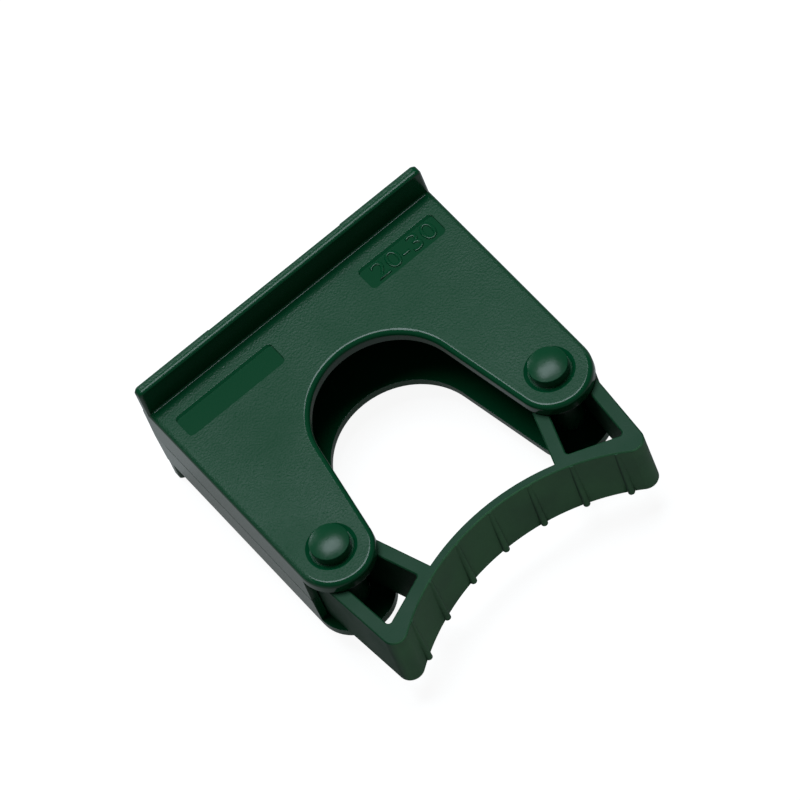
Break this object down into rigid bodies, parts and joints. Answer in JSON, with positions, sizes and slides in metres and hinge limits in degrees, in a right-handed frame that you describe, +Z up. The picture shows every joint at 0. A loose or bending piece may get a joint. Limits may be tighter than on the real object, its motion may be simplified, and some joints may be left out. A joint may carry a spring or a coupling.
{
  "type": "rail tool clip",
  "caption": "Boxed plastic clip for a wall rail, with a U-shaped seat and a ribbed rubber strap on headed pins that folds round a pushed-in tool handle and grips it.",
  "frame": {"origin": "centre of the rear plane that lies against the rail, at mid height of the box", "axes": "+X to the right along the rail, +Y towards the wall, +Z up; the tool goes in along +Y from the front"},
  "size_m": [0.0804, 0.085, 0.0388],
  "materials": {
    "body_plastic": "fine moulded grain, satin",
    "strap_rubber": "smooth moulded rubber, dull",
    "pin_plastic": "smooth, satin"
  },
  "bodies": {
    "root": {"holder_body": "body_plastic", "grip_strap": "strap_rubber", "pivot_pin_left": "pin_plastic", "pivot_pin_right": "pin_plastic"}
  },
  "joints": []
}
